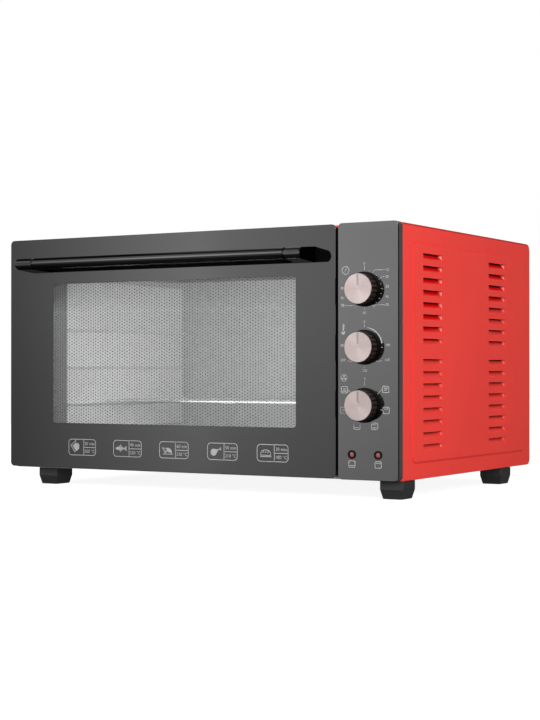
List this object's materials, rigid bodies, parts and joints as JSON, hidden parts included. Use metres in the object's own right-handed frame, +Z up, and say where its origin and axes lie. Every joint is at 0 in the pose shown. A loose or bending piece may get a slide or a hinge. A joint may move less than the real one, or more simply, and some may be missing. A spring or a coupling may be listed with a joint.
{
  "type": "mini oven",
  "caption": "Counter-top mini oven with a drop-down glass door and bar handle, a control strip with turning knobs and lamps, a sliding wire rack and a louvred case.",
  "frame": {"origin": "under the middle of the whole object, on the surface that its feet stand on", "axes": "+X to the right as seen from the front, where the control strip is, +Y from the front to the back, +Z up"},
  "size_m": [0.5774, 0.4556, 0.3243],
  "materials": {
    "red_enamel": "smooth gloss enamel on sheet steel",
    "black_glass": "polished dark glass, printed on the back",
    "clear_glass": "polished clear glass",
    "black_steel": "satin black enamel on sheet steel",
    "galvanised_steel": "zinc-coated sheet with a fine grain",
    "bright_wire": "bright plated steel",
    "heater_sheath": "heat-darkened steel tube",
    "rose_aluminium": "turned with fine concentric lines, pale rose",
    "gloss_black": "gloss black moulding",
    "matte_black": "fine-grained black moulding",
    "silicone_grey": "soft dark grey silicone",
    "lamp_red": "dark red translucent lens, unlit",
    "phenolic_cream": "cream moulded insulator",
    "wire_brown": "brown insulation",
    "wire_blue": "blue insulation"
  },
  "bodies": {
    "root": {"base_panel": "galvanised_steel", "cable_gland": "matte_black", "cavity_liner": "galvanised_steel", "crumb_tray": "galvanised_steel", "fascia_frame": "matte_black", "fascia_glass": "black_glass", "foot_front_left": "matte_black", "foot_front_right": "matte_black", "foot_rear_left": "matte_black", "foot_rear_right": "matte_black", "front_frame": "black_steel", "function_switch": "phenolic_cream", "heating_lamp_housing": "gloss_black", "heating_lamp_lens": "lamp_red", "hinge_bracket_left": "galvanised_steel", "hinge_bracket_right": "galvanised_steel", "left_side_panel": "red_enamel", "lower_heater": "heater_sheath", "lower_heater_wire": "wire_brown", "lower_return_wire": "wire_blue", "mouth_seal": "silicone_grey", "partition": "galvanised_steel", "power_lamp_housing": "gloss_black", "power_lamp_lens": "lamp_red", "rack_guide_left": "bright_wire", "rack_guide_right": "bright_wire", "rear_panel": "galvanised_steel", "right_side_panel": "red_enamel", "supply_wire": "wire_brown", "terminal_block": "phenolic_cream", "thermostat": "galvanised_steel", "thermostat_bulb": "bright_wire", "timer": "galvanised_steel", "top_cover": "red_enamel", "upper_heater": "heater_sheath", "upper_heater_wire": "wire_brown", "upper_return_wire": "wire_blue"},
    "door": {"outer_door_glass": "black_glass", "door_frame": "black_steel", "inner_door_glass": "clear_glass", "handle_tube": "gloss_black", "handle_end_left": "gloss_black", "handle_end_right": "gloss_black", "handle_screw_left": "bright_wire", "handle_screw_right": "bright_wire", "hinge_pin_left": "bright_wire", "hinge_pin_right": "bright_wire", "check_arm_left": "galvanised_steel", "check_arm_right": "galvanised_steel"},
    "rack": {"wire_rack": "bright_wire"},
    "timer_dial": {"timer_knob": "matte_black", "timer_knob_cap": "rose_aluminium", "timer_shaft": "matte_black"},
    "thermostat_dial": {"thermostat_knob": "matte_black", "thermostat_knob_cap": "rose_aluminium", "thermostat_shaft": "matte_black"},
    "function_dial": {"function_knob": "matte_black", "function_knob_cap": "rose_aluminium", "function_shaft": "matte_black"}
  },
  "joints": [
    {"name": "door_hinge", "type": "hinge", "parent": "root", "child": "door", "pos_m": [-0.04095, -0.18085, 0.0282], "axis": [1, 0, 0], "range_deg": [0, 84]},
    {"name": "rack_slide", "type": "slide", "parent": "root", "child": "rack", "axis": [0, -1, 0], "range_m": [0, 0.125]},
    {"name": "timer_turn", "type": "hinge", "parent": "root", "child": "timer_dial", "pos_m": [0.24425, -0.18845, 0.2457], "axis": [0, 1, 0], "range_deg": [0, 270]},
    {"name": "thermostat_turn", "type": "hinge", "parent": "root", "child": "thermostat_dial", "pos_m": [0.24425, -0.18845, 0.1778], "axis": [0, 1, 0], "range_deg": [0, 270]},
    {"name": "function_turn", "type": "hinge", "parent": "root", "child": "function_dial", "pos_m": [0.24425, -0.18845, 0.1099], "axis": [0, 1, 0], "range_deg": [0, 308.6]}
  ]
}
